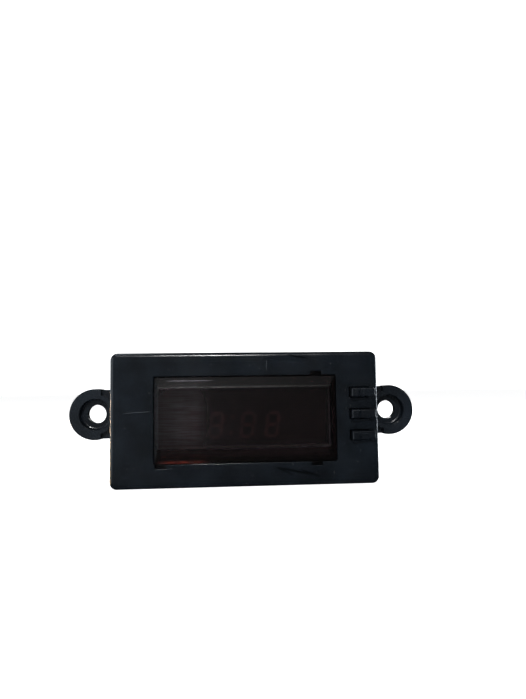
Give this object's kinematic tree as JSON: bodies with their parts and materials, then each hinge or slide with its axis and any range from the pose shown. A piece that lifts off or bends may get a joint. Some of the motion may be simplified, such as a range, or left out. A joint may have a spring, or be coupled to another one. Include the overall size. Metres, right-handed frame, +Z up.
{
  "type": "taxi meter",
  "caption": "Slim digital taxi meter display: black case with two mounting ears, a tinted window over LED digits, set buttons at its side and a rear connector.",
  "frame": {"origin": "midway between the two ear holes, on the rear faces of the ears", "axes": "+X to the right seen from the front, +Y from the front into the unit, +Z up"},
  "size_m": [0.103, 0.0309, 0.0374],
  "materials": {
    "case_plastic": "satin moulded ABS",
    "button_plastic": "satin moulded ABS",
    "window_acrylic": "polished tinted acrylic",
    "baffle_plastic": "fine matt",
    "display_plastic": "printed matt face",
    "led_diffuser": "milky epoxy",
    "board_laminate": "solder mask on glass epoxy",
    "tinned_leads": "tinned",
    "chip_epoxy": "moulded epoxy",
    "crystal_steel": "nickel plated",
    "capacitor_aluminium": "drawn",
    "capacitor_sleeve": "shrink sleeve",
    "resistor_coat": "lacquered",
    "diode_glass": "clear glass",
    "socket_nylon": "natural nylon",
    "screw_steel": "zinc plated",
    "label_film": "printed polyester film",
    "switch_plastic": "moulded",
    "switch_steel": "stamped"
  },
  "bodies": {
    "unit": {"bezel": "case_plastic", "rear_housing": "case_plastic", "lens": "window_acrylic", "light_baffle": "baffle_plastic", "display_body": "display_plastic", "display_colon": "led_diffuser", "display_pins": "tinned_leads", "circuit_board": "board_laminate", "switch_legs": "tinned_leads", "control_chip": "chip_epoxy", "control_chip_legs": "tinned_leads", "crystal_can": "crystal_steel", "resistors": "resistor_coat", "diodes": "diode_glass", "axial_leads": "tinned_leads", "transistors": "chip_epoxy", "voltage_regulator": "chip_epoxy", "component_leads": "tinned_leads", "socket_shell": "socket_nylon", "socket_pins": "tinned_leads", "case_screws": "screw_steel", "rating_label": "label_film", "supply_capacitor_can": "capacitor_aluminium", "filter_capacitor_can": "capacitor_aluminium", "supply_capacitor_sleeve": "capacitor_sleeve", "filter_capacitor_sleeve": "capacitor_sleeve", "display_digit_1": "led_diffuser", "display_digit_2": "led_diffuser", "display_digit_3": "led_diffuser", "display_digit_4": "led_diffuser", "upper_switch_base": "switch_plastic", "upper_switch_cover": "switch_steel", "upper_switch_dome": "switch_steel", "middle_switch_base": "switch_plastic", "middle_switch_cover": "switch_steel", "middle_switch_dome": "switch_steel", "lower_switch_base": "switch_plastic", "lower_switch_cover": "switch_steel", "lower_switch_dome": "switch_steel"},
    "upper_button": {"upper_button": "button_plastic"},
    "middle_button": {"middle_button": "button_plastic"},
    "lower_button": {"lower_button": "button_plastic"},
    "upper_switch_plunger": {"upper_switch_plunger": "switch_plastic"},
    "middle_switch_plunger": {"middle_switch_plunger": "switch_plastic"},
    "lower_switch_plunger": {"lower_switch_plunger": "switch_plastic"}
  },
  "joints": [
    {"name": "upper_button_press", "type": "slide", "parent": "unit", "child": "upper_button", "axis": [0, 1, 0], "range_m": [0, 0.0005], "stiffness_N_per_m": 800, "springref_m": -0.0005},
    {"name": "upper_plunger_press", "type": "slide", "parent": "unit", "child": "upper_switch_plunger", "axis": [0, 1, 0], "range_m": [0, 0.0003]},
    {"name": "middle_button_press", "type": "slide", "parent": "unit", "child": "middle_button", "axis": [0, 1, 0], "range_m": [0, 0.0005], "stiffness_N_per_m": 800, "springref_m": -0.0005},
    {"name": "middle_plunger_press", "type": "slide", "parent": "unit", "child": "middle_switch_plunger", "axis": [0, 1, 0], "range_m": [0, 0.0003]},
    {"name": "lower_button_press", "type": "slide", "parent": "unit", "child": "lower_button", "axis": [0, 1, 0], "range_m": [0, 0.0005], "stiffness_N_per_m": 800, "springref_m": -0.0005},
    {"name": "lower_plunger_press", "type": "slide", "parent": "unit", "child": "lower_switch_plunger", "axis": [0, 1, 0], "range_m": [0, 0.0003]}
  ],
  "couplings": [
    {"joint": "upper_plunger_press", "follows": "upper_button_press", "ratio": 0.6},
    {"joint": "middle_plunger_press", "follows": "middle_button_press", "ratio": 0.6},
    {"joint": "lower_plunger_press", "follows": "lower_button_press", "ratio": 0.6}
  ]
}
